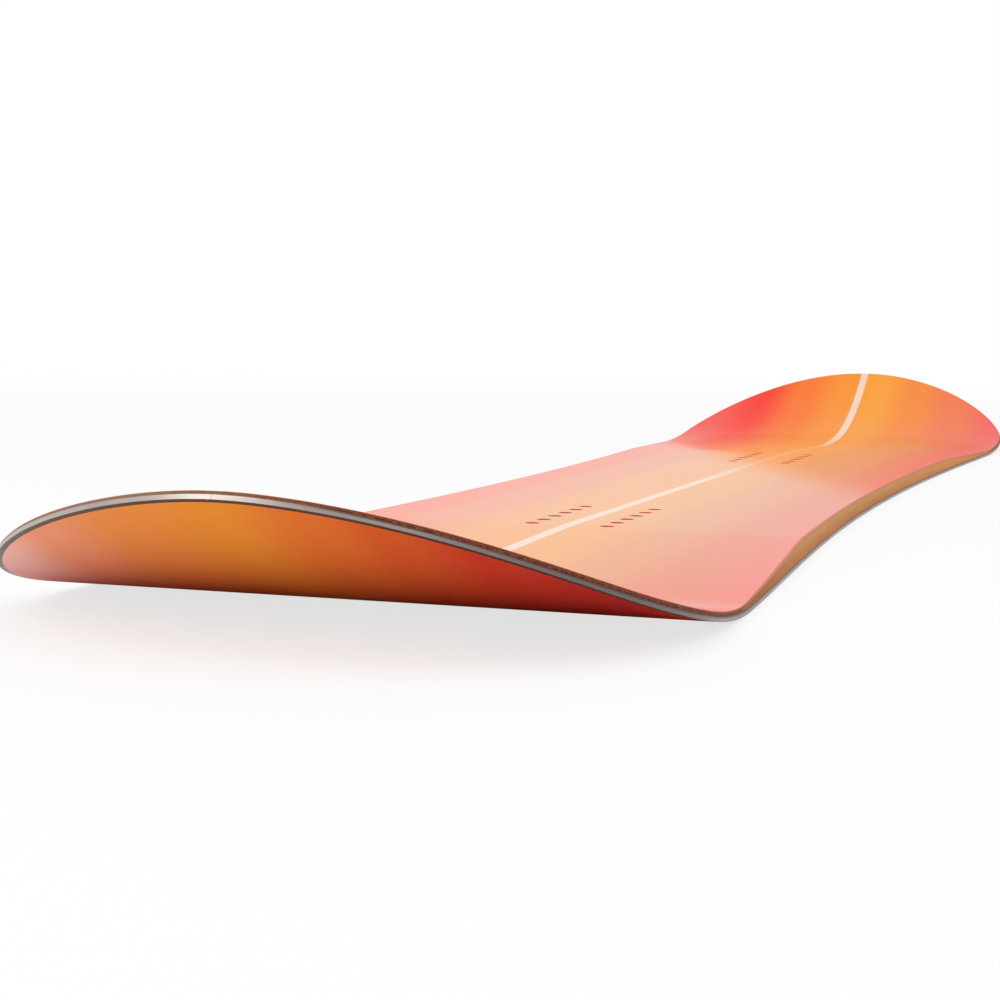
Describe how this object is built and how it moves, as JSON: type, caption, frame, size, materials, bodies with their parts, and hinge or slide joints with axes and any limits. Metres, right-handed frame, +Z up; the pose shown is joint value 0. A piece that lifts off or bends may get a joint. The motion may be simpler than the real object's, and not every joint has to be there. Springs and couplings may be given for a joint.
{
  "type": "snowboard",
  "caption": "Snowboard without bindings: a laminated wood-core deck with steel edges, bevelled sidewalls, a sidecut, upturned nose and tail, and threaded inserts for bindings.",
  "frame": {"origin": "bottom centre of the board's box: the flat running base lies in the plane z = 0, half way between the nose end and the tail end, on the centre line", "axes": "+X along the board towards the nose, +Y to the rider's left when looking from tail to nose, +Z up out of the deck"},
  "size_m": [1.4486, 0.289, 0.0621],
  "materials": {
    "base": "ground and waxed polyethylene running base, red fading to pink at the tail tip",
    "edge_steel": "ground bare steel",
    "rubber_foil": "matt black",
    "fibreglass": "cured glass cloth and clear resin",
    "core_poplar": "planed, unsealed",
    "core_beech": "planed, unsealed",
    "sidewall_plastic": "tan plastic, ground and lightly polished",
    "insert_steel": "machined stainless steel",
    "topsheet": "glossy printed sheet, coral to amber with a pale centre stripe"
  },
  "bodies": {
    "root": {"base_sheet": "base", "steel_edge_left": "edge_steel", "steel_edge_right": "edge_steel", "rubber_foil_left": "rubber_foil", "rubber_foil_right": "rubber_foil", "lower_fibreglass": "fibreglass", "core_strip_right_5": "core_beech", "core_strip_right_4": "core_poplar", "core_strip_right_3": "core_beech", "core_strip_right_2": "core_poplar", "core_strip_right_1": "core_beech", "core_strip_centre": "core_poplar", "core_strip_left_1": "core_beech", "core_strip_left_2": "core_poplar", "core_strip_left_3": "core_beech", "core_strip_left_4": "core_poplar", "core_strip_left_5": "core_beech", "sidewall_left": "sidewall_plastic", "sidewall_right": "sidewall_plastic", "tail_spacer": "sidewall_plastic", "nose_spacer": "sidewall_plastic", "insert_tail_left_1": "insert_steel", "insert_tail_left_2": "insert_steel", "insert_tail_left_3": "insert_steel", "insert_tail_left_4": "insert_steel", "insert_tail_left_5": "insert_steel", "insert_tail_left_6": "insert_steel", "insert_tail_right_1": "insert_steel", "insert_tail_right_2": "insert_steel", "insert_tail_right_3": "insert_steel", "insert_tail_right_4": "insert_steel", "insert_tail_right_5": "insert_steel", "insert_tail_right_6": "insert_steel", "insert_nose_left_1": "insert_steel", "insert_nose_left_2": "insert_steel", "insert_nose_left_3": "insert_steel", "insert_nose_left_4": "insert_steel", "insert_nose_left_5": "insert_steel", "insert_nose_left_6": "insert_steel", "insert_nose_right_1": "insert_steel", "insert_nose_right_2": "insert_steel", "insert_nose_right_3": "insert_steel", "insert_nose_right_4": "insert_steel", "insert_nose_right_5": "insert_steel", "insert_nose_right_6": "insert_steel", "upper_fibreglass": "fibreglass", "topsheet": "topsheet"}
  },
  "joints": []
}
